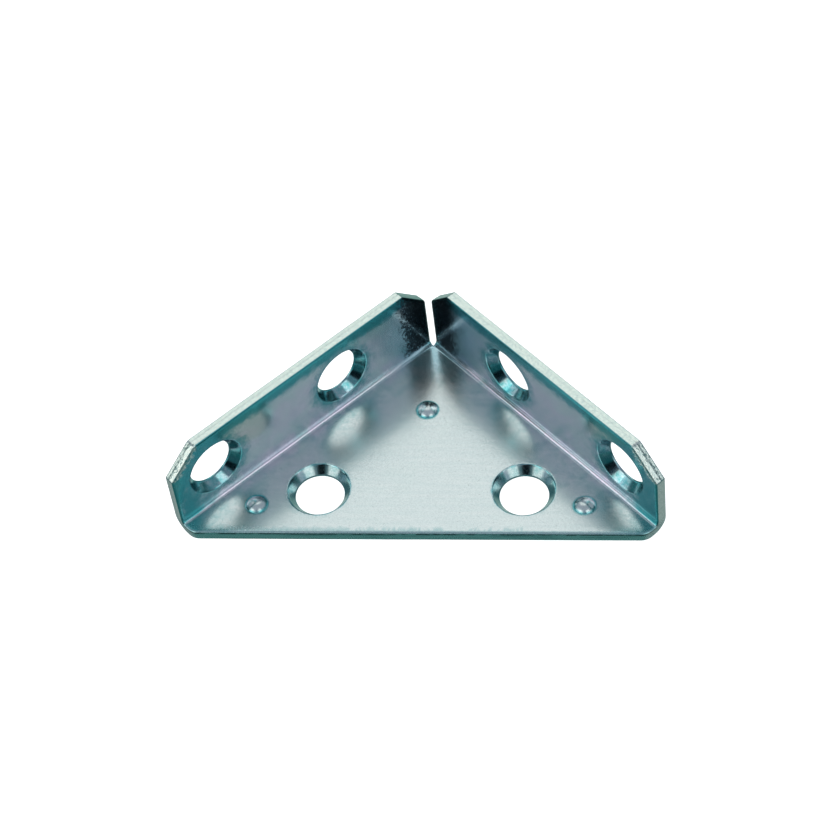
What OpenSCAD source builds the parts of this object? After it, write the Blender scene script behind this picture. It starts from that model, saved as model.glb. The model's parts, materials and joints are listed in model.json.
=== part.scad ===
// Triangular corner brace, pressed and folded from one piece of sheet steel.
// A three-sided base lies flat. Two flanges fold up along its legs and meet at a
// right angle, with a slit between them. X runs along the front edge, Y runs back
// to the corner and Z is up. The origin is under the middle of the footprint.

/* [Sheet] */
// Thickness of the sheet
sheet_t = 1.2; // [0.8:0.1:1.6]
// Radius on the inside of both folds
fold_r = 0.5; // [0.3:0.1:1]

/* [Legs] */
// Length of each leg, from the corner of the outer faces to its end
leg_len = 35; // [32:0.5:50]
// Height of the flanges, from the underside of the base
flange_h = 10.8; // [10:0.1:16]
// How far the front edge stands out in front of the ends of the legs
front_lip = 1.9; // [1.5:0.1:3]
// Radius of the two front corners of the base
front_corner_r = 1.6; // [0.4:0.1:2]
// Width of the slit, between the inner edges of the two flanges
slit_w = 0.5; // [0.3:0.1:0.9]

/* [Clipped corners of the flanges] */
// Length of the clip at the outer end, along the leg
end_clip_len = 3.4; // [1:0.1:4]
// Height of the clip at the outer end
end_clip_h = 3; // [1:0.1:4]
// Radius that blends the top of the flange into that clip
end_clip_r = 0.8; // [0.2:0.1:2]
// Length of the clip beside the slit, along the leg
slit_clip_len = 2.8; // [1:0.1:4]
// Height of the clip beside the slit
slit_clip_h = 2.8; // [1:0.1:4]
// Radius that blends that clip into the edge of the slit
slit_clip_r = 0.8; // [0.2:0.1:1.5]

/* [Screw holes] */
// Diameter of the screw holes
hole_d = 5; // [4.2:0.1:5.5]
// Diameter of the countersinks, at the inner surface
sink_d = 6.4; // [5.8:0.1:6.8]
// Depth of the straight part that each countersink leaves of its hole
land = 0.2; // [0.1:0.05:0.6]
// Half of the distance between the two holes in the base
base_hole_x = 10.4; // [8:0.1:11]
// Distance of the base holes from the front edge
base_hole_front = 5.5; // [4.5:0.1:6]
// Distance along the leg from the corner to the nearer flange hole
near_hole_along = 13.2; // [9:0.1:16]
// Distance along the leg from the farther flange hole to the end
far_hole_inset = 5.2; // [5:0.1:8]
// Height of the flange holes, from the underside of the base
flange_hole_h = 5.9; // [5.2:0.1:6.4]

/* [Pressed dimples] */
// Diameter of the dimples, which stand up as round bumps on the inner surface
dimple_d = 2.2; // [1.2:0.1:2.6]
// Height of the bumps, and depth of the hollows under them
dimple_h = 0.45; // [0.2:0.05:0.6]
// Distance of the middle dimple from the front edge
middle_dimple_front = 15.7; // [12:0.1:17]
// Half of the distance between the two side dimples
side_dimple_x = 16.6; // [15.5:0.1:17]
// Distance of the side dimples from the front edge
side_dimple_front = 3.5; // [2.8:0.1:3.7]

/* [Hidden] */
$fn = 96;
steel = [0.66, 0.73, 0.74];
// How far a cut runs past the metal
past = 1;
// How far a round corner overshoots, so that its arc crosses both of its edges
overshoot = 0.001;
// Part of a slanted length that lies along X, and also along Y
diagonal = sqrt(1 / 2);
outer_r = sheet_t + fold_r;
// Distance from the front edge back to the corner of the outer faces
corner_y = front_lip + leg_len * diagonal;
// Where the flanges start along their legs, which leaves the slit between them
leg_start = sheet_t + slit_w * diagonal;
// Depth of the footprint, from the front edge to the back of the flanges
depth = corner_y - leg_start * diagonal;
// Width of half of the base, square to its leg, to past the middle of the front edge
half_w = (corner_y + past) * diagonal + past;
sink_depth = sheet_t - land;
// Radius of the ball that each dimple is pressed with
ball_r = (pow(dimple_d / 2, 2) + pow(dimple_h, 2)) / 2 / dimple_h;

// Waste that a round corner leaves: cut away, it blends the two straight edges that
// meet at a corner, which run on to the points before and after it
module corner_waste(before, corner, after, r) {
    back = (before - corner) / norm(before - corner);
    on = (after - corner) / norm(after - corner);
    half = acos(back * on) / 2;
    centre = corner + (back + on) / norm(back + on) * r / sin(half);
    reach = (r + past) / r;
    difference() {
        polygon([
            centre,
            centre + (corner + back * r / tan(half) - centre) * reach,
            centre + (corner - centre) * reach,
            centre + (corner + on * r / tan(half) - centre) * reach
        ]);
        translate(centre)
            circle(r = r + overshoot);
    }
}

// Axes of the left leg: X runs inwards from its outer face, Y runs up from the
// underside and Z runs along the leg from the corner
module on_leg() {
    translate([0, corner_y, 0])
        rotate([90, 0, -45])
            children();
}

// A place on the left flange's outer face, with Z running inwards
module on_flange(along, up) {
    on_leg()
        translate([0, up, along])
            rotate([0, 90, 0])
                children();
}

// The same thing on the left and on the right
module both_sides() {
    children();
    mirror([1, 0, 0])
        children();
}

// Section across a leg: the flange, the fold and half of the base
module leg_section() {
    difference() {
        square([half_w, flange_h + past]);
        translate([outer_r, sheet_t])
            square([half_w, flange_h + past]);
        translate([sheet_t, outer_r])
            square([half_w, flange_h + past]);
        translate([outer_r, outer_r])
            circle(r = fold_r);
        difference() {
            translate([-past, -past])
                square(outer_r + past);
            translate([outer_r, outer_r])
                circle(r = outer_r);
        }
    }
}

// Outline of a flange from the side: along the leg, and up. The clip at the end runs
// on past the end of the leg.
module flange_outline() {
    slit_foot = [leg_start, -past];
    slit_corner = [leg_start, flange_h - slit_clip_h];
    top_start = [leg_start + slit_clip_len, flange_h];
    top_end = [leg_len - end_clip_len, flange_h];
    clip_end = [leg_len + end_clip_len, flange_h - 2 * end_clip_h];
    difference() {
        polygon([
            slit_foot, slit_corner, top_start, top_end, clip_end,
            [leg_len + end_clip_len, -past]
        ]);
        corner_waste(slit_foot, slit_corner, top_start, slit_clip_r);
        corner_waste(top_start, top_end, clip_end, end_clip_r);
    }
}

// The left leg with its half of the base, as far as the middle plane
module left_half() {
    intersection() {
        on_leg()
            linear_extrude(leg_len + end_clip_len)
                leg_section();
        on_leg()
            rotate([0, -90, 0])
                translate([0, 0, -half_w - past])
                    linear_extrude(half_w + 2 * past)
                        flange_outline();
        translate([-2 * leg_len, -leg_len, -past])
            cube([2 * leg_len, 3 * leg_len, flange_h + 2 * past]);
    }
}

// What the end cuts and the front cut leave of the sheet, seen from above
module footprint() {
    end_x = leg_len * diagonal;
    front_x = end_x - front_lip;
    back_x = end_x + corner_y;
    difference() {
        polygon([
            [-front_x, 0], [front_x, 0],
            [back_x, corner_y + front_lip], [-back_x, corner_y + front_lip]
        ]);
        both_sides()
            corner_waste([0, 0], [front_x, 0], [end_x, front_lip], front_corner_r);
    }
}

// The sheet cut out and folded, before it is punched
module folded_sheet() {
    intersection() {
        both_sides()
            left_half();
        translate([0, 0, -past])
            linear_extrude(flange_h + 2 * past)
                footprint();
    }
}

// A screw hole through the sheet, countersunk on its upper side
module screw_hole() {
    translate([0, 0, -past])
        cylinder(h = sheet_t + 2 * past, d = hole_d);
    translate([0, 0, land])
        cylinder(h = 2 * sink_depth, d1 = hole_d, d2 = 2 * sink_d - hole_d);
}

module screw_holes() {
    both_sides() {
        translate([-base_hole_x, base_hole_front, 0])
            screw_hole();
        for (along = [near_hole_along, leg_len - far_hole_inset])
            on_flange(along, flange_hole_h)
                screw_hole();
    }
}

module at_dimples() {
    translate([0, middle_dimple_front, 0])
        children();
    both_sides()
        translate([-side_dimple_x, side_dimple_front, 0])
            children();
}

// Upper part of the ball, as it stands out of a flat sheet
module bump() {
    intersection() {
        translate([0, 0, sheet_t + dimple_h - ball_r])
            sphere(r = ball_r);
        translate([-ball_r, -ball_r, sheet_t / 2])
            cube([2 * ball_r, 2 * ball_r, sheet_t]);
    }
}

// The whole ball, sunk into the underside
module hollow() {
    translate([0, 0, dimple_h - ball_r])
        sphere(r = ball_r);
}

module brace() {
    color(steel)
        translate([0, -depth / 2, 0])
            difference() {
                union() {
                    folded_sheet();
                    at_dimples()
                        bump();
                }
                at_dimples()
                    hollow();
                screw_holes();
            }
}

brace();
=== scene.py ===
"""Looks of a triangular corner brace: one folded, pressed and zinc-plated sheet.

The sheet is meshed as it lies flat, then folded. Its left half is modelled, mirrored and
joined along the middle. Lengths are in millimetres until the mesh is made.
"""
import json
import math

import bmesh
import bpy
from mathutils import Matrix, Vector, noise
from mathutils.geometry import delaunay_2d_cdt


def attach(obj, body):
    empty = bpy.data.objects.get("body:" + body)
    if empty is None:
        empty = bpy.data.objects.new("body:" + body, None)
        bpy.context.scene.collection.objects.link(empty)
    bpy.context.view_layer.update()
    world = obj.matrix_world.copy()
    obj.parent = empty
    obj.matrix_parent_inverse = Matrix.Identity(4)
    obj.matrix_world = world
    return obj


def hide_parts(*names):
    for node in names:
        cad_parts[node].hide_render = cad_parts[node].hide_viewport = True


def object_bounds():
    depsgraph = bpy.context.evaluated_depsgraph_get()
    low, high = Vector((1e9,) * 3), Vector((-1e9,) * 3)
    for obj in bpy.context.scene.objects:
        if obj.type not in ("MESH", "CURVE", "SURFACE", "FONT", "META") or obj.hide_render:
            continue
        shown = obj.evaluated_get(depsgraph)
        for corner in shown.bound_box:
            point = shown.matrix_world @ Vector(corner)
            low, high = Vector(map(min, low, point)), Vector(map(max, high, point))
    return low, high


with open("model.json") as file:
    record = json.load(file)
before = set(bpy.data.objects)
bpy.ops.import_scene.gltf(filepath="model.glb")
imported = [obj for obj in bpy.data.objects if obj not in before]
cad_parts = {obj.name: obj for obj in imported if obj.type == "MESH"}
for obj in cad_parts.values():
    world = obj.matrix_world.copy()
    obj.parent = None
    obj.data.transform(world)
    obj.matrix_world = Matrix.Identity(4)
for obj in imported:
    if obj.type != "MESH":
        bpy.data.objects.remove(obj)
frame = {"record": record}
cad_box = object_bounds()

MM = 0.001
DIAGONAL = math.sqrt(0.5)

# Sizes that the frame gives
low, high = (corner / MM for corner in cad_box)
FLANGE_H = high.z
DEPTH = high.y - low.y
LEG_LEN = high.x / DIAGONAL

# Sizes of the sheet and its cuts
SHEET_T = 1.2
FOLD_R = 0.5
FRONT_LIP = 1.9
FRONT_CORNER_R = 1.6
# Clipped corners, as (length along the leg, height)
END_CLIP = (3.4, 3.0)
END_CLIP_R = 0.8
SLIT_CLIP = (2.8, 2.8)
SLIT_CLIP_R = 0.8
# Radius of the corners that look sharp, and the least that any corner keeps
SMALL_R = 0.3
LEAST_R = 0.02
SINK_R = 3.2
LAND = 0.2
DIMPLE_R = 1.1
DIMPLE_H = 0.45
# Centres of the dimples, as (X, distance from the front edge)
DIMPLES = ((0.0, 15.7), (-16.6, 3.5))

OUTER_R = SHEET_T + FOLD_R
CORNER_FRONT = FRONT_LIP + LEG_LEN * DIAGONAL
CORNER_Y = CORNER_FRONT - DEPTH / 2
LEG_START = (CORNER_FRONT - DEPTH) / DIAGONAL
SIDE_H = FLANGE_H - OUTER_R

# Width of the fold as it lies flat, and how far down it the slit always reaches
FOLD_W = (FOLD_R + SHEET_T / 2) * math.pi / 2
SLIT_FOOT_W = 0.8 * FOLD_W

# Spacing of the mesh: over the faces, along the fold, along the cuts and round their corners
FACE_STEP = 0.42
FOLD_STEP = 1.4 * FACE_STEP
CUT_STEP = 0.2
CORNER_STEP = 0.6 * CUT_STEP
# Steps across the fold, from there to the base at the ends, and round the holes and dimples
FOLD_ROWS = 14
END_STEPS = 4
HOLE_STEPS = 120
DIMPLE_STEPS = 40
# How far the second ring of points lies outside the rim of a hole
RIM_RING = 0.1
# How far the points over the faces keep away from holes, dimples and lines
HOLE_CLEAR = 0.35
DIMPLE_CLEAR = 0.2
LINE_CLEAR = 0.6 * FACE_STEP
# How far the rows of the fold keep away from the border beside the slit's foot
ROW_GAP = 0.05
# Distances that are only rounding, at which points are merged, and at which they are on the middle
ROUNDING = 1e-6
MERGE = 1e-5
WELD = 0.0004
ON_MIDDLE = 1e-3

# Streaks down the countersinks: depth, wide and fine ones to a millimetre, share of the fine
# ones, and how far apart the places in the noise are that two holes use
STREAK_H = 0.0012
STREAK_RATE = 3.1
FINE_RATE = 9.7
FINE_SHARE = 0.7
STREAK_SHIFT = 7.3
FINE_SHIFT = 3.7

# Waves over the whole sheet: height, length, the same for short waves as a share of the long
# ones, and the places in the noise that X, Y and Z use
WAVE_H = 0.012
WAVE_LEN = 5.0
SHORT_SHARE = 0.25
SHORT_RATE = 3.3
WAVE_STARTS = (Vector((3.7, 0.0, 8.1)), Vector((31.7, 12.9, 0.0)), Vector((0.0, 47.3, 5.3)))


def where_on_sheet(x, y):
    """A place on the left half of the base, as (along the leg, across from the outer face)"""
    dy = y - CORNER_Y
    return (-x - dy) * DIAGONAL, (x - dy) * DIAGONAL


def flat_width(across):
    """Place across the flat sheet of a point of the inner surface's base or fold"""
    if across >= OUTER_R:
        return FOLD_W + across - OUTER_R
    return math.acos((OUTER_R - across) / FOLD_R) / (math.pi / 2) * FOLD_W


def folded(s, w, sunk):
    """Point of the left half: s along the leg, w across the flat sheet from the top of
    the fold, and how far it is sunk below the inner surface"""
    if w <= 0:
        across, z = SHEET_T - sunk, OUTER_R - w
    elif w < FOLD_W:
        angle = w / FOLD_W * math.pi / 2
        across = OUTER_R - (FOLD_R + sunk) * math.cos(angle)
        z = OUTER_R - (FOLD_R + sunk) * math.sin(angle)
    else:
        across, z = OUTER_R + w - FOLD_W, SHEET_T - sunk
    return Vector(((across - s) * DIAGONAL, CORNER_Y - (s + across) * DIAGONAL, z))


def spread(a, b, count):
    """count points from a, up to but without b"""
    return [a.lerp(b, i / count) for i in range(count)]


def steps(length, step):
    """How many steps a length is divided into"""
    return max(1, math.ceil(length / step))


# The cut outline of the left half, from the foot of the slit round to the middle of the
# front edge, as corners with the radius that blends each
MID = CORNER_FRONT * DIAGONAL
OUTLINE = [
    (Vector((LEG_START, -SIDE_H + SLIT_CLIP[1])), SLIT_CLIP_R),
    (Vector((LEG_START + SLIT_CLIP[0], -SIDE_H)), SMALL_R),
    (Vector((LEG_LEN - END_CLIP[0], -SIDE_H)), END_CLIP_R),
    (Vector((LEG_LEN, -SIDE_H + END_CLIP[1])), SMALL_R),
    (Vector((LEG_LEN, flat_width(2 * MID - LEG_LEN))), FRONT_CORNER_R),
]
OUTLINE_END = Vector((MID, flat_width(MID)))
SLIT_FOOT = Vector((LEG_START, flat_width(LEG_START)))
FOLD_LINES = [FOLD_W * i / FOLD_ROWS for i in range(FOLD_ROWS + 1)]


def inset_corner(before, corner, after, inset):
    """The corner of an outline that is moved inwards by inset"""
    back, on = (before - corner).normalized(), (after - corner).normalized()
    half = back.angle(on) / 2
    return corner + (back + on).normalized() * inset / math.sin(half)


def slit_foot_line(inset):
    """Points up the slit's foot to the top of the fold, as many for every inset"""
    foot = LEG_START + inset
    start = flat_width(foot)
    if start > FOLD_W:
        widths = [start, FOLD_W, (FOLD_W + SLIT_FOOT_W) / 2]
    else:
        widths = [start, start + (SLIT_FOOT_W - start) / 3, start + (SLIT_FOOT_W - start) * 2 / 3]
    widths += [w for w in reversed(FOLD_LINES) if w <= SLIT_FOOT_W]
    return [Vector((foot, w)) for w in widths]


def cut_line(inset):
    """Points of the outline moved inwards, with as many points for every inset"""
    corners = [c for c, r in OUTLINE]
    ends = [Vector((LEG_START, FOLD_W)), *corners, OUTLINE_END]
    moved = [inset_corner(ends[i], ends[i + 1], ends[i + 2], inset) for i in range(len(corners))]
    end = Vector((MID - inset * DIAGONAL, flat_width(MID - inset * DIAGONAL)))
    moved.append(end)
    points = slit_foot_line(inset)
    last = points.pop()
    for i, (corner, r) in enumerate(OUTLINE):
        here, after = moved[i:i + 2]
        blend = max(r - inset, LEAST_R)
        back, on = (last - here).normalized(), (after - here).normalized()
        half = back.angle(on) / 2
        tangent = blend / math.tan(half)
        into, out = here + back * tangent, here + on * tangent
        centre = here + (back + on).normalized() * blend / math.sin(half)
        points += straight(last, into, ends[i], corner)
        turn_angle = math.pi - 2 * half
        count = steps(max(r, SMALL_R) * turn_angle, CORNER_STEP) + 2
        a0 = math.atan2(into.y - centre.y, into.x - centre.x)
        a1 = math.atan2(out.y - centre.y, out.x - centre.x)
        sweep = (a1 - a0 + math.pi) % (2 * math.pi) - math.pi
        angles = [a0 + sweep * k / count for k in range(count)]
        points += [centre + Vector((math.cos(a), math.sin(a))) * blend for a in angles]
        last = out
    points += spread(last, end, steps((OUTLINE_END - corners[-1]).length, CUT_STEP))
    points.append(end)
    return points


def straight(a, b, nominal_a, nominal_b):
    """Points from a up to but without b, which meet the rows of the fold where they cross it"""
    whole = (nominal_b - nominal_a).length
    if abs(b.x - a.x) < ROUNDING and min(a.y, b.y) < 0 < max(a.y, b.y):
        lines = [w for w in FOLD_LINES if min(a.y, b.y) < w < max(a.y, b.y)]
        lines = sorted(lines, reverse=b.y < a.y)
        flange_part = spread(a, Vector((a.x, 0)), steps(SIDE_H - END_CLIP[1], CUT_STEP))
        base_part = spread(Vector((a.x, lines[-1])), b, END_STEPS)
        return flange_part + [Vector((a.x, w)) for w in lines[:-1]] + base_part
    return spread(a, b, steps(whole, CUT_STEP))


def hole_centres():
    """Centres of the left half's holes on the flat sheet, with their radius"""
    found = []
    for mount in frame["record"]["mounts"]:
        x, y, z = (v / MM for v in mount["pos_m"])
        if mount["kind"] != "bore" or x > 0:
            continue
        s, across = where_on_sheet(x, y)
        w = flat_width(across) if abs(mount["axis"][2]) > 0.5 else OUTER_R - z
        found.append((Vector((s, w)), mount["dims"]["r_mm"]))
    return found


def dimple_centres():
    """Centres of the middle and the left dimple on the flat sheet"""
    return [Vector((s, flat_width(across))) for s, across in
            (where_on_sheet(x, y - DEPTH / 2) for x, y in DIMPLES)]


HOLES = hole_centres()
DIMPLE_CENTRES = dimple_centres()
# Radius of the ball that presses a dimple, how far its foot is blended either way, and the
# rings of points on it and round it, as parts of its radius
BALL_R = (DIMPLE_R ** 2 + DIMPLE_H ** 2) / (2 * DIMPLE_H)
DIMPLE_BLEND = 0.05
DIMPLE_RINGS = [0.16, 0.32, 0.48, 0.62, 0.75, 0.86, 0.93, 0.965, 1.0, 1.03, 1.06, 1.14, 1.3]


def ring(centre, r, count):
    """count points on a circle"""
    return [centre + Vector((math.cos(a), math.sin(a))) * r
            for a in (2 * math.pi * i / count for i in range(count))]


def dome(r):
    """Height of a dimple at a distance from its centre, with a small blend at its foot"""
    top = math.sqrt(max(BALL_R ** 2 - r ** 2, 0)) - (BALL_R - DIMPLE_H)
    if r < DIMPLE_R - DIMPLE_BLEND:
        return top
    edge = math.sqrt(BALL_R ** 2 - (DIMPLE_R - DIMPLE_BLEND) ** 2) - (BALL_R - DIMPLE_H)
    t = min((r - DIMPLE_R + DIMPLE_BLEND) / (2 * DIMPLE_BLEND), 1)
    return edge * (1 - t) ** 2


def relief(point):
    """How far the dimples raise the sheet at a place on it"""
    return max(dome((point - c).length) for c in DIMPLE_CENTRES)


class Outline2D:
    """Collects the points and edges that a triangulation has to keep"""

    def __init__(self):
        self.points, self.edges = [], []

    def chain(self, points, closed=False):
        first = len(self.points)
        self.points += points
        self.edges += [(first + i, first + i + 1) for i in range(len(points) - 1)]
        if closed:
            self.edges.append((first + len(points) - 1, first))


def middle_line(start, end):
    """Points of the middle of the base from the front back to the slit, which meet the
    rings of the dimple there"""
    centre = DIMPLE_CENTRES[0]
    places = {0.0}
    places.update(r * DIMPLE_R * side for r in DIMPLE_RINGS for side in (-1, 1))
    direction = (end - start).normalized()
    reach = DIMPLE_RINGS[-1] * DIMPLE_R
    before, after = (start - centre).dot(direction), (end - centre).dot(direction)
    for a, b in ((before, -reach), (reach, after)):
        count = steps(abs(b - a), FACE_STEP)
        places.update(a + (b - a) * i / count for i in range(count + 1))
    places = sorted(p for p in places if before - ROUNDING <= p <= after + ROUNDING)
    kept = [p for i, p in enumerate(places) if i == 0 or p - places[i - 1] > MERGE]
    return [centre + direction * p for p in kept]


def plan_dimples(plan, middle):
    """Adds the rings of the dimples to a plan. The middle dimple has only its left half."""
    axis = (middle[-1] - middle[0]).normalized()
    side = Vector((axis.y, -axis.x))
    if side.dot(Vector((1, -1))) < 0:
        side = -side
    half = DIMPLE_STEPS // 2
    angles = [math.pi * i / half for i in range(half + 1)]
    for number, centre in enumerate(DIMPLE_CENTRES):
        for r in DIMPLE_RINGS:
            if number == 0:
                plan.chain([centre + (axis * math.cos(a) + side * math.sin(a)) * r * DIMPLE_R
                            for a in angles])
            else:
                plan.chain(ring(centre, r * DIMPLE_R, DIMPLE_STEPS), closed=True)
        plan.points.append(centre.copy())


def face_mesh(inset, hole_radii):
    """Corners and triangles of one face of the flat left half, inside the cut line and outside
    the holes"""
    plan = Outline2D()
    border = cut_line(inset)
    middle = middle_line(border[-1], border[0])
    plan.chain(border + middle[1:-1], closed=True)
    for (centre, _), r in zip(HOLES, hole_radii):
        plan.chain(ring(centre, r, HOLE_STEPS), closed=True)
        plan.chain(ring(centre, r + RIM_RING, HOLE_STEPS), closed=True)
    plan_dimples(plan, middle)
    kept_clear = [(centre, r + HOLE_CLEAR) for (centre, _), r in zip(HOLES, hole_radii)]
    kept_clear += [(centre, DIMPLE_RINGS[-1] * DIMPLE_R + DIMPLE_CLEAR) for centre in DIMPLE_CENTRES]
    for w in FOLD_LINES:
        # The border has no points on the rows between the slit's foot and the end of the fold
        s0 = border[0].x + (ROW_GAP if SLIT_FOOT_W < w < FOLD_W else 0)
        s1 = LEG_LEN - inset
        count = steps(s1 - s0, FOLD_STEP)
        plan.chain([Vector((s0 + (s1 - s0) * i / count, w)) for i in range(count + 1)])
    plan.points += lattice(border, middle, kept_clear)
    verts, _, faces, *_ = delaunay_2d_cdt(plan.points, plan.edges, [], 1, MERGE)
    inside = []
    for face in faces:
        centre = sum((verts[i] for i in face), Vector((0, 0))) / 3
        if all((centre - c).length > r for (c, _), r in zip(HOLES, hole_radii)):
            inside.append(face)
    return verts, inside


def lattice(border, middle, kept_clear):
    """Points spread evenly over the flange and the base, clear of what is already there"""
    points = []
    row_h = FACE_STEP * math.sqrt(3) / 2
    rows = int((SIDE_H + 2 * MID) / row_h)
    loop = border + middle[1:-1]
    for row in range(rows):
        w = -SIDE_H + row_h * (row + 0.5)
        if -LINE_CLEAR < w < FOLD_W + LINE_CLEAR:
            continue
        for column in range(int(LEG_LEN / FACE_STEP) + 2):
            p = Vector(((column + 0.5 * (row % 2)) * FACE_STEP, w))
            if not inside_loop(p, loop) or any((p - c).length < r for c, r in kept_clear):
                continue
            if min((p - q).length_squared for q in loop) >= LINE_CLEAR ** 2:
                points.append(p)
    return points


def inside_loop(p, loop):
    """Whether a point lies inside a closed line"""
    inside = False
    for i, a in enumerate(loop):
        b = loop[i - 1]
        if (a.y > p.y) != (b.y > p.y) and p.x < (b.x - a.x) * (p.y - a.y) / (b.y - a.y) + a.x:
            inside = not inside
    return inside


# Profile from the inner face over the cut and down to the outer face, as (how far from the
# cut, how far below the inner surface): the edge that shearing rolls over, the cut itself, the
# part that breaks away a little, and the small burr's corner
ROLL_W = 0.38
ROLL_H = 0.15
ROLL_STEPS = 7
ROLL_ANGLES = [math.pi / 2 * i / ROLL_STEPS for i in range(ROLL_STEPS + 1)]
CUT_PROFILE = [(ROLL_W * (1 - math.sin(a)), ROLL_H * (1 - math.cos(a))) for a in ROLL_ANGLES]
CUT_PROFILE += [(0, d) for d in (0.22, 0.32, 0.42, 0.52, 0.6, 0.66)]
CUT_PROFILE += [(0.02, 0.72), (0.03, 0.8), (0.035, 0.9), (0.04, 1.0), (0.045, 1.08), (0.05, 1.14),
                (0.07, 1.18), (0.16, SHEET_T)]


# The same for a countersunk hole: the rounded rim, as (how far outside it, depth), the parts
# of the way down the cone and how much deeper its top lies, and the straight part that is left,
# as (how far outside the hole, how far below the cone)
RIM = [(0.12, 0), (0.07, 0.006), (0.03, 0.02), (0, 0.045)]
CONE = (0.08, 0.2, 0.32, 0.44, 0.56, 0.68, 0.8, 0.9, 0.97)
CONE_DROP = 0.03
STRAIGHT = [(0.008, 0.01), (0, 0.03), (0, 0.08), (0, 0.13), (0.015, 0.17), (0.05, LAND)]


def hole_profile(r):
    """Profile of a countersunk hole, as (radius, depth)"""
    sink = SINK_R - r
    drop = SHEET_T - LAND
    points = [(SINK_R + out, depth) for out, depth in RIM]
    points += [(SINK_R - sink * t, drop * t + CONE_DROP * (1 - t)) for t in CONE]
    points += [(r + out, drop + below) for out, below in STRAIGHT]
    return points


def tool_mark(number, turn, depth):
    """How far the countersink of a hole stands out, in streaks that run down its cone"""
    place = Vector((math.cos(turn), math.sin(turn), 0)) * SINK_R
    streak = noise.noise(place * STREAK_RATE + Vector((0, 0, number * STREAK_SHIFT)))
    fine = noise.noise(place * FINE_RATE + Vector((0, 0, number * FINE_SHIFT + depth)))
    return STREAK_H * (streak + FINE_SHARE * fine)


# What each corner of the mesh says of itself, for the material to read
PARTS = {"face": 0.0, "cut": 1.0, "sink": 2.0}
LAYERS = ("part", "depth", "satin", "teal", "lilac", "blue", "painted_shade", "torn", "sheared")

# Films of the plating as (strength, distance up to which it is full, distance where it ends),
# from an edge, a rim or another feature. On the flange:
TOP_TEAL = (1.0, 0.5, 2.3)
END_TEAL = (0.85, 1.2, 7.0)
RIM_TEAL = (0.6, 0.1, 2.0)
SLIT_TEAL = (0.5, 0.2, 1.5)
# On the base:
BASE_RIM_TEAL = (0.25, 0.0, 1.0)
RIM_LINE_TEAL = (0.5, 0.0, 0.25)
TIP_TEAL = (0.4, 1.2, 5.0)
FOLD_TEAL = (0.32, 0.6, 5.0)
FOOT_TEAL = (0.7, 0.05, 0.3)
# How much less there is on the outer surface, and the distances from that surface
OUTER_TEAL = (0.5, 0.1, 0.6)
# Pink along the fold, over the middle of the flange and on the base, and how far from the
# middle of the leg it reaches, as parts of the leg
FOLD_LILAC = (1.0, 0.6, 2.2)
MIDDLE_LILAC = (0.62, 1.5, 4.0)
BASE_LILAC = 0.05
LILAC_MIDDLE = 0.52
LILAC_REACH = (1.0, 0.22, 0.46)
FLANGE_MIDDLE = 0.42
# Blue and painted shade beside the slit, and what they and the bumps take from the satin of the base
SLIT_BLUE = (1.0, 2.0, 6.0)
SLIT_PAINTED_SHADE = (1.0, 2.0, 5.0)
SLIT_SMOOTH = (0.3, 3.0, 8.0)
BUMP_SMOOTH = (0.2, DIMPLE_R, 1.1 * DIMPLE_R)
# Where the clip is torn, along it and down from the top, and where the front edge is sheared
TORN_ALONG = (1.0, 1.7, 2.0)
TORN_DOWN = (1.0, 2.8, 3.2)
SHEARED = (1.0, 1.5, 3.0)


def fade(distance, full, end):
    """1 up to the full distance, 0 from the end on, smooth between them"""
    t = min(max((end - distance) / (end - full), 0), 1)
    return t * t * (3 - 2 * t)


def film(distance, kind):
    """Strength at a distance of a film that is given as (strength, full, end)"""
    strength, full, end = kind
    return strength * fade(distance, full, end)


def rim_distance(p):
    """How far a place on the flat sheet is outside the nearest countersink"""
    return min((p - c).length - SINK_R for c, _ in HOLES)


def teal_film(p):
    """How blue-green the plating is: near the cut edges of the flange and round the holes"""
    s, w = p
    rim = rim_distance(p)
    if w < FOLD_W / 2:
        top = w + SIDE_H
        slant = ((LEG_LEN - s) * END_CLIP[1] + (top - END_CLIP[1]) * END_CLIP[0]) / math.hypot(*END_CLIP)
        end = min(LEG_LEN - s, slant)
        return max(film(top, TOP_TEAL), film(end, END_TEAL), film(rim, RIM_TEAL),
                   film(s - LEG_START, SLIT_TEAL))
    foot = min(abs((p - c).length - DIMPLE_R) for c in DIMPLE_CENTRES)
    return max(film(rim, BASE_RIM_TEAL), film(abs(rim), RIM_LINE_TEAL), film(LEG_LEN - s, TIP_TEAL),
               film(w - FOLD_W, FOLD_TEAL), film(foot, FOOT_TEAL))


def satin_patch(p):
    """Where the surface is satin: on the base, but less on its bumps and next to the slit"""
    bump = min((p - c).length for c in DIMPLE_CENTRES)
    plain = 1 - max(film(bump, BUMP_SMOOTH), film((p - SLIT_FOOT).length, SLIT_SMOOTH))
    return fade(-p.y, -FOLD_W / 2, 0.5) * plain


def lilac_film(p):
    """How pink the plating is: along the fold, over the middle of the flange and a little
    on the base"""
    s, w = p
    along = film(abs(s / LEG_LEN - LILAC_MIDDLE), LILAC_REACH)
    fold = film(abs(w), FOLD_LILAC) * fade(w, 0.7 * FOLD_W, 1.3 * FOLD_W)
    middle = film(abs(w + FLANGE_MIDDLE * SIDE_H), MIDDLE_LILAC) * along
    return max(fold * (1 + along) / 2, middle, BASE_LILAC * fade(-w, -FOLD_W - 2, -FOLD_W))


def blue_film(p):
    """How blue the plating is: on the base next to the slit"""
    return film((p - SLIT_FOOT).length, SLIT_BLUE) * fade(-p.y, -FOLD_W / 2, 0.3)


def painted_slit_shade(p):
    """Painted shade: how dark the plating is painted beside the slit, where the two flanges face each other
    """
    s, w = p
    return film(s - LEG_START, SLIT_PAINTED_SHADE) * fade(w, -0.3, 0.6)


def torn_cut(p):
    """How rough the cut is: the clip at the end of the leg was torn off"""
    s, w = p
    return film(abs(s - LEG_LEN + END_CLIP[0] / 2), TORN_ALONG) * film(w + SIDE_H, TORN_DOWN)


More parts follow.
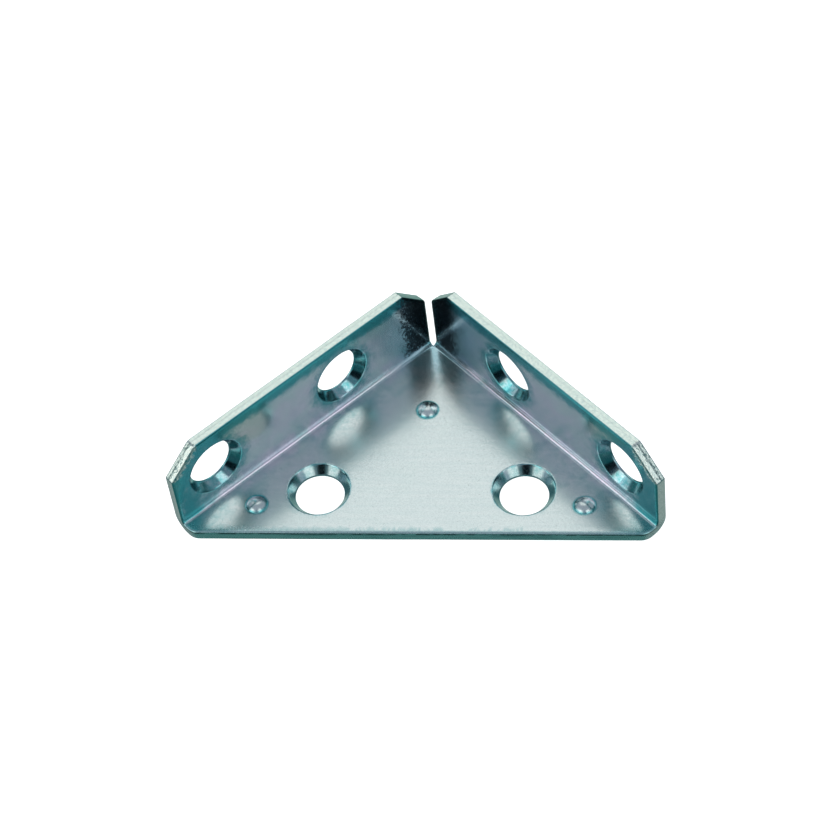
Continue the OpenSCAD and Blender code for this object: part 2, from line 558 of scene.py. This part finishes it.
def sheared_cut(p):
    """Where the cut was sheared, which leaves lines along it: the front edge"""
    s, w = p
    return film(abs(s - MID + w - flat_width(MID)), SHEARED)


def layer_values(p, sunk, part):
    """What a corner of the mesh says of itself, for every layer"""
    outer = 0 if part == "sink" else film(SHEET_T - sunk, OUTER_TEAL)
    return (
        PARTS[part],
        sunk / SHEET_T,
        0 if part == "sink" else satin_patch(p),
        teal_film(p) * (1 - outer),
        lilac_film(p),
        blue_film(p),
        # Painted shade beside the slit, on the inner half of the sheet only
        painted_slit_shade(p) if sunk < SHEET_T / 2 else 0,
        torn_cut(p),
        sheared_cut(p),
    )


def build_half(bm, layers):
    """Adds the left half of the sheet, folded"""

    def vert(point, sunk, part, on_middle=False):
        co = folded(point.x, point.y, sunk)
        if on_middle:
            co.x = 0
        v = bm.verts.new(co)
        for layer, value in zip(layers, layer_values(point, sunk, part)):
            v[layer] = value
        return v

    def strip(rows, closed):
        for upper, lower in zip(rows, rows[1:]):
            count = len(upper)
            for i in range(count if closed else count - 1):
                j = (i + 1) % count
                bm.faces.new((upper[i], lower[i], lower[j], upper[j]))

    top = [hole_profile(r)[0][0] for _, r in HOLES]
    bottom = [hole_profile(r)[-1][0] for _, r in HOLES]
    for inset, radii, sunk, flip in ((CUT_PROFILE[0][0], top, 0, False),
                                     (CUT_PROFILE[-1][0], bottom, SHEET_T, True)):
        verts, faces = face_mesh(inset, radii)
        made = []
        for p in verts:
            on_middle = p.y > FOLD_W and abs(folded(p.x, p.y, 0).x) < ON_MIDDLE
            made.append(vert(p, sunk - relief(p), "face", on_middle))
        for face in faces:
            corners = [made[i] for i in face]
            bm.faces.new(corners if flip else reversed(corners))
    rows = []
    for inset, sunk in CUT_PROFILE:
        line = cut_line(inset)
        rows.append([vert(p, sunk, "cut", i in (0, len(line) - 1)) for i, p in enumerate(line)])
    strip(rows, False)
    turns = [2 * math.pi * i / HOLE_STEPS for i in range(HOLE_STEPS)]
    for number, (centre, r) in enumerate(HOLES):
        profile = hole_profile(r)
        rows = []
        for row, (radius, sunk) in enumerate(profile):
            marked = len(RIM) <= row < len(profile) - 1
            marks = [tool_mark(number, a, sunk) if marked else 0 for a in turns]
            points = [centre + Vector((math.cos(a), math.sin(a))) * (radius - mark)
                      for a, mark in zip(turns, marks)]
            rows.append([vert(p, sunk, "sink") for p in points])
        strip([row[::-1] for row in rows], True)


def wave(co):
    """The slight waves of the pressed sheet, long ones and short ones, in X, Y and Z"""
    place = co / WAVE_LEN
    return Vector([noise.noise(place + start) + SHORT_SHARE * noise.noise(place * SHORT_RATE + start)
                   for start in WAVE_STARTS]) * WAVE_H


def build_brace():
    """The whole sheet as one object, in metres"""
    bm = bmesh.new()
    layers = [bm.verts.layers.float.new(name) for name in LAYERS]
    build_half(bm, layers)
    mirrored = bmesh.ops.duplicate(bm, geom=bm.verts[:] + bm.edges[:] + bm.faces[:])["geom"]
    for item in mirrored:
        if isinstance(item, bmesh.types.BMVert):
            item.co.x = -item.co.x
    bmesh.ops.reverse_faces(bm, faces=[f for f in mirrored if isinstance(f, bmesh.types.BMFace)])
    bmesh.ops.remove_doubles(bm, verts=bm.verts[:], dist=WELD)
    bmesh.ops.recalc_face_normals(bm, faces=bm.faces[:])
    for face in bm.faces:
        face.smooth = True
    for v in bm.verts:
        v.co += wave(v.co)
    bmesh.ops.scale(bm, vec=(MM, MM, MM), verts=bm.verts[:])
    mesh = bpy.data.meshes.new("brace_sheet")
    bm.to_mesh(mesh)
    bm.free()
    piece = bpy.data.objects.new("brace_sheet", mesh)
    bpy.context.scene.collection.objects.link(piece)
    return piece


# Colours of the plating: plain zinc, its films, bare cuts, dark and pale marks, and near black for painted
# shade beside the slit and for the dark line of the cuts
ZINC = (0.73, 0.815, 0.81)
TEAL = (0.07, 0.41, 0.44)
LILAC = (0.84, 0.74, 0.87)
BLUE = (0.59, 0.82, 0.91)
BARE = (0.76, 0.86, 0.80)
STAIN = (0.10, 0.22, 0.22)
# Near black: painted shade beside the slit, and the dark line along the cuts
PAINTED_SHADE_AND_LINE_BLACK = (0.03, 0.04, 0.05)
TORN_PALE = (0.86, 0.92, 0.84)

# A noise mostly lies between these
NOISE_LOW = 0.3
NOISE_HIGH = 0.7

# Depths in the cut, as parts of the thickness: where the film ends, where the dark line of the
# front edge and the lower line of a torn cut begin, are full and end, and where a tear begins
FILM_DEPTH = (0.06, 0.14)
LINE_DEPTH = (0.10, 0.15, 0.21, 0.29)
LOW_LINE_DEPTH = (0.46, 0.52, 0.56, 0.62)
RIDGE_DEPTH = (0.2, 0.3)
TEAR_DEPTH = (0.5, 0.6)

# Relief of the finish, in millimetres for a height of 1, and how much of it shows
RELIEF_H = 0.01
RELIEF_SHARE = 0.5


class NodeBuilder:
    """Short ways to add nodes to a tree and join them up"""

    def __init__(self, tree):
        self.nodes, self.links = tree.nodes, tree.links

    def put(self, socket, value):
        """Joins a socket to another one, or sets it to a number or a colour"""
        if isinstance(value, bpy.types.NodeSocket):
            self.links.new(value, socket)
        elif isinstance(value, tuple) and len(value) == 3 and socket.type == "RGBA":
            socket.default_value = (*value, 1)
        else:
            socket.default_value = value

    def math(self, operation, *values, clamp=False):
        node = self.nodes.new("ShaderNodeMath")
        node.operation, node.use_clamp = operation, clamp
        for socket, value in zip(node.inputs, values):
            self.put(socket, value)
        return node.outputs[0]

    def mixed(self, factor, a, b, blend="MIX"):
        node = self.nodes.new("ShaderNodeMix")
        node.data_type, node.blend_type = "RGBA", blend
        for socket, value in ((node.inputs["Factor"], factor), (node.inputs[6], a), (node.inputs[7], b)):
            self.put(socket, value)
        return node.outputs[2]

    def mapped(self, value, start, end, to_start=0.0, to_end=1.0):
        """A value taken smoothly from one range to another"""
        node = self.nodes.new("ShaderNodeMapRange")
        node.interpolation_type = "SMOOTHSTEP"
        ranges = {"From Min": start, "From Max": end, "To Min": to_start, "To Max": to_end}
        for name, number in ranges.items():
            node.inputs[name].default_value = number
        self.put(node.inputs["Value"], value)
        return node.outputs["Result"]

    def swung(self, noise, to_low, to_high):
        """A noise spread over a range"""
        return self.mapped(noise, NOISE_LOW, NOISE_HIGH, to_low, to_high)

    def band(self, value, start, full, full_end, end):
        """1 in the middle of a band of the value, 0 outside it"""
        return self.times(self.mapped(value, start, full), self.mapped(value, end, full_end))

    def times(self, a, b):
        return self.math("MULTIPLY", a, b)

    def plus(self, a, b):
        return self.math("ADD", a, b)

    def attribute(self, name):
        node = self.nodes.new("ShaderNodeAttribute")
        node.attribute_name = name
        return node.outputs["Fac"]

    def noise(self, per_mm, detail=2.0, rough=0.5, stretch=(1, 1, 1), warp=0.0):
        """Noise with so many features to a millimetre, drawn out along an axis by stretch"""
        mapping = self.nodes.new("ShaderNodeMapping")
        mapping.inputs["Scale"].default_value = [per_mm / MM / k for k in stretch]
        self.links.new(self.nodes.new("ShaderNodeTexCoord").outputs["Object"], mapping.inputs["Vector"])
        node = self.nodes.new("ShaderNodeTexNoise")
        node.inputs["Scale"].default_value = 1
        node.inputs["Detail"].default_value = detail
        node.inputs["Roughness"].default_value = rough
        node.inputs["Distortion"].default_value = warp
        self.links.new(mapping.outputs["Vector"], node.inputs["Vector"])
        return node.outputs["Fac"]


class Noises:
    """The noises of the plating, from soft clouds to fine grain"""

    def __init__(self, build):
        self.cloud = build.noise(0.33, 3, 0.55, warp=0.6)
        self.haze = build.noise(0.9, 4, 0.6)
        self.mottle = build.noise(3.2, 3, 0.65)
        self.grain = build.noise(7.0, 2, 0.6)
        self.streaks = build.noise(2.4, 3, 0.6, stretch=(14, 1, 1))
        self.crumbs = build.noise(3.4, 4, 0.7, stretch=(1, 1, 1.6))


def film_colour(build, noises, satin):
    """Zinc with its films: teal near edges with a mottled border, pink in soft clouds and blue next to the
    slit, and painted shade, near black, beside the slit where the flanges face each other"""
    unsure = build.plus(build.swung(noises.mottle, -0.07, 0.07), build.swung(noises.haze, -0.13, 0.13))
    unsure = build.times(unsure, build.math("SUBTRACT", 1.0, build.times(satin, 0.5)))
    unsure = build.plus(unsure, build.mapped(noises.cloud, 0.35, 0.65, 0.10, -0.04))
    teal = build.mapped(build.plus(build.attribute("teal"), unsure), 0.12, 0.92)
    lilac = build.times(build.attribute("lilac"), build.mapped(noises.cloud, 0.3, 0.62, 0.25, 1.0))
    colour = build.mixed(build.mapped(noises.streaks, 0.25, 0.75, 0.0, 0.08), ZINC, TEAL)
    colour = build.mixed(lilac, colour, LILAC)
    colour = build.mixed(build.attribute("blue"), colour, BLUE)
    colour = build.mixed(teal, colour, TEAL)
    spots = build.mapped(noises.grain, 0.35, 0.75, 0.0, 0.24)
    colour = build.mixed(build.times(spots, build.mapped(satin, 0, 1, 1.0, 0.4)), colour, STAIN)
    speckle = build.plus(build.swung(noises.mottle, -0.25, 0.25), build.swung(noises.grain, -0.3, 0.3))
    # Painted shade: near black, speckled, on the flanges beside the slit where they face each other
    painted_shade = build.mapped(build.plus(build.attribute("painted_shade"), speckle), 0.4, 0.8, 0.0, 0.97)
    return build.mixed(painted_shade, colour, PAINTED_SHADE_AND_LINE_BLACK)


def cut_colour(build, noises, colour, depth, torn):
    """The cuts: the film goes on over the rolled edge, then the metal is bare. The front edge has
    a broken dark line and ridges, and the torn clips have bright bands and dark crumbs."""
    sheared = build.attribute("sheared")
    wander = build.plus(depth, build.swung(noises.crumbs, -0.03, 0.03))
    stray = build.plus(wander, build.swung(noises.haze, -0.3, 0.3))
    bare = build.mixed(build.mapped(depth, *FILM_DEPTH), colour, BARE)
    bare = build.mixed(build.mapped(noises.crumbs, 0.4, 0.7, 0.0, 0.22), bare, TEAL)
    bare = build.mixed(build.mapped(noises.mottle, 0.45, 0.75, 0.0, 0.1), bare, STAIN)

    bare = build.mixed(build.times(torn, build.mapped(noises.mottle, 0.35, 0.6)), bare, TORN_PALE)
    tear = build.times(build.mapped(wander, *TEAR_DEPTH), build.mapped(noises.mottle, 0.5, 0.62))
    bare = build.mixed(build.times(build.times(torn, tear), 0.75), bare, STAIN)
    low_line = build.times(build.band(stray, *LOW_LINE_DEPTH), build.mapped(noises.mottle, 0.35, 0.5))
    bare = build.mixed(build.times(low_line, build.mapped(torn, 0, 1, 0.05, 0.9)), bare, STAIN)

    bare = build.mixed(build.times(sheared, 0.3), bare, TEAL)
    ridges = build.times(sheared, build.mapped(noises.streaks, 0.45, 0.62, 0.0, 0.4))
    bare = build.mixed(build.times(ridges, build.mapped(wander, *RIDGE_DEPTH)), bare, STAIN)
    shown = build.plus(build.times(sheared, 0.85), 0.05)
    line = build.times(build.band(wander, *LINE_DEPTH),
                       build.times(build.mapped(noises.haze, 0.32, 0.55), shown))
    return build.mixed(line, bare, PAINTED_SHADE_AND_LINE_BLACK)


def finish_relief(build, noises, cut, torn):
    """Normals with fine grain and soft unevenness everywhere, and crumbs on the cuts"""
    height = build.plus(build.times(noises.grain, 0.2), build.times(noises.mottle, 0.12))
    height = build.plus(height, build.times(noises.haze, 0.35))
    height = build.plus(height, build.times(noises.streaks, 0.06))
    rubble = build.times(noises.crumbs, build.mapped(torn, 0, 1, 0.6, 7.0))
    height = build.plus(height, build.times(cut, rubble))
    bump = build.nodes.new("ShaderNodeBump")
    bump.inputs["Strength"].default_value = RELIEF_SHARE
    bump.inputs["Distance"].default_value = RELIEF_H * MM
    build.put(bump.inputs["Height"], height)
    return bump.outputs["Normal"]


def plated_steel():
    material = bpy.data.materials.new("plated_steel")
    material.use_nodes = True
    build = NodeBuilder(material.node_tree)
    shader = material.node_tree.nodes["Principled BSDF"]
    noises = Noises(build)

    part = build.attribute("part")
    cut = build.math("SUBTRACT", 1.0, build.math("ABSOLUTE", build.math("SUBTRACT", part, 1.0)), clamp=True)
    sink = build.math("SUBTRACT", part, 1.0, clamp=True)
    satin = build.attribute("satin")
    torn = build.attribute("torn")

    colour = film_colour(build, noises, satin)
    colour = build.mixed(cut, colour, cut_colour(build, noises, colour, build.attribute("depth"), torn))
    colour = build.mixed(build.times(sink, build.swung(noises.haze, 0.1, 0.35)), colour, TEAL)
    build.put(shader.inputs["Base Color"], colour)

    dulled = build.times(build.attribute("blue"), 0.22)
    build.put(shader.inputs["Metallic"], build.math("SUBTRACT", 1.0, dulled))

    rough = build.plus(build.swung(noises.grain, 0.13, 0.19), build.times(satin, 0.08))
    rough = build.plus(rough, build.times(cut, build.swung(noises.crumbs, 0.0, 0.1)))
    build.put(shader.inputs["Roughness"], rough)
    build.put(shader.inputs["Normal"], finish_relief(build, noises, cut, torn))
    return material


# The floor is white and glows a little, as in a photograph on a light table
FLOOR_SIZE = 4
FLOOR_WHITE = (0.9, 0.9, 0.9, 1)
FLOOR_GLOW = 0.9
FLOOR_ROUGH = 0.9


def make_stage():
    """A floor just below the lowest waves of the sheet, which the metal doesn't mirror"""
    bpy.ops.mesh.primitive_plane_add(size=FLOOR_SIZE)
    floor = bpy.context.object
    floor.name = "floor"
    floor.location.z = -2 * WAVE_H * MM
    material = bpy.data.materials.new("floor_white")
    material.use_nodes = True
    shader = material.node_tree.nodes["Principled BSDF"]
    shader.inputs["Base Color"].default_value = FLOOR_WHITE
    shader.inputs["Roughness"].default_value = FLOOR_ROUGH
    shader.inputs["Emission Color"].default_value = (1, 1, 1, 1)
    shader.inputs["Emission Strength"].default_value = FLOOR_GLOW
    floor.data.materials.append(material)
    floor.visible_glossy = False


# Where the camera stands: it looks at a point from a direction, a little rolled. The lens is
# given as for a picture of so many pixels, and the nearest and farthest things in metres.
PHOTO_SIZE = 832
FOCAL_PIXELS = 2691.8
AZIMUTH, ELEVATION, ROLL = (math.radians(a) for a in (-10.4085, 51.1563, -8.1716))
TARGET = Vector((1.3761, 1.0872 - DEPTH / 2, 18.6518))
DISTANCE = 255.3
NEAREST = 0.01
FARTHEST = 10


def make_camera():
    forward = Vector((math.sin(AZIMUTH) * math.cos(ELEVATION), math.cos(AZIMUTH) * math.cos(ELEVATION),
                      -math.sin(ELEVATION)))
    level = Vector((math.cos(AZIMUTH), -math.sin(AZIMUTH), 0))
    upright = level.cross(forward)
    right = level * math.cos(ROLL) + upright * math.sin(ROLL)
    up = upright * math.cos(ROLL) - level * math.sin(ROLL)
    data = bpy.data.cameras.new("camera")
    data.lens = FOCAL_PIXELS * data.sensor_width / PHOTO_SIZE
    data.clip_start = NEAREST
    data.clip_end = FARTHEST
    camera = bpy.data.objects.new("camera", data)
    turn = Matrix((right, up, -forward)).transposed()
    camera.matrix_world = Matrix.Translation((TARGET - forward * DISTANCE) * MM) @ turn.to_4x4()
    bpy.context.scene.collection.objects.link(camera)
    bpy.context.scene.camera = camera


# The studio as the metal sees it. Each patch is (direction, half angle of its full part, half
# angle where it ends, colour). Light is added up, and shade is a colour that covers the rest.
SKY = (0.33, 0.37, 0.43)
HORIZON = (0.05, 0.13, 0.145)
GROUND = (0.29, 0.35, 0.35)
# Angles from straight up: where the sky gives way to the horizon, and that to the ground
SKY_EDGE = (55, 78)
GROUND_EDGE = (112, 131)
SHADE = [
    (Vector((0.09, -0.63, 0.77)), 8, 20, (0.15, 0.21, 0.27)),
    (Vector((-0.12, 0.43, -0.90)), 15, 27, (0.02, 0.05, 0.08)),
    (Vector((-0.33, -0.75, 0.58)), 9, 17, (0.02, 0.04, 0.06)),
    (Vector((-0.11, -0.62, -0.78)), 22, 42, (0.09, 0.22, 0.22)),
]
LIGHT = [
    (Vector((-0.1, 0.64, 0.76)), 18, 31, (0.62, 0.60, 0.54)),
    (Vector((0.56, -0.77, 0.30)), 12, 20, (0.95, 0.93, 0.90)),
    (Vector((-0.72, -0.65, 0.23)), 12, 21, (0.95, 0.93, 0.90)),
    (Vector((0.88, -0.42, 0.20)), 7, 16, (0.35, 0.32, 0.38)),
    (Vector((-0.95, -0.24, 0.15)), 7, 15, (0.32, 0.28, 0.34)),
    (Vector((0.40, -0.50, 0.77)), 12, 16, (1.10, 1.10, 1.05)),
    (Vector((-0.72, -0.23, 0.66)), 8, 13, (0.62, 0.65, 0.66)),
    (Vector((-0.53, -0.53, 0.67)), 13, 17, (1.30, 1.28, 1.20)),
    (Vector((-0.13, -0.68, 0.72)), 7, 12, (0.20, 0.26, 0.30)),
    (Vector((-0.92, -0.10, 0.37)), 10, 17, (0.95, 0.93, 0.88)),
    (Vector((0.80, -0.29, 0.51)), 8, 15, (0.72, 0.76, 0.74)),
    (Vector((0.0, 0.90, -0.43)), 26, 44, (0.15, 0.20, 0.17)),
]
# The last patch lies over all of the others: the dark band that shows in the countersinks
STRIPE = (Vector((-0.11, -0.94, 0.32)), 10, 15, (0.0, 0.003, 0.006))


def make_world():
    world = bpy.data.worlds.new("studio")
    bpy.context.scene.world = world
    world.use_nodes = True
    build = NodeBuilder(world.node_tree)
    direction = build.nodes.new("ShaderNodeTexCoord").outputs["Generated"]

    def towards(aim, full, end):
        """1 for directions within the full angle of an aim, 0 from the end angle on"""
        node = build.nodes.new("ShaderNodeVectorMath")
        node.operation = "DOT_PRODUCT"
        node.inputs[1].default_value = aim.normalized()
        build.links.new(direction, node.inputs[0])
        return build.mapped(node.outputs["Value"], math.cos(math.radians(end)), math.cos(math.radians(full)))

    up = Vector((0, 0, 1))
    colour = build.mixed(towards(up, *GROUND_EDGE), GROUND, HORIZON)
    colour = build.mixed(towards(up, *SKY_EDGE), colour, SKY)
    for aim, full, end, shade in SHADE:
        colour = build.mixed(towards(aim, full, end), colour, shade)
    for aim, full, end, light in LIGHT:
        colour = build.mixed(towards(aim, full, end), colour, light, "ADD")
    aim, full, end, shade = STRIPE
    colour = build.mixed(towards(aim, full, end), colour, shade)
    build.links.new(colour, build.nodes["Background"].inputs["Color"])


make_camera()
make_stage()
make_world()
brace = build_brace()
brace.data.materials.append(plated_steel())
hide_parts("brace")
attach(brace, "root")

bpy.context.scene.view_settings.view_transform = "Standard"
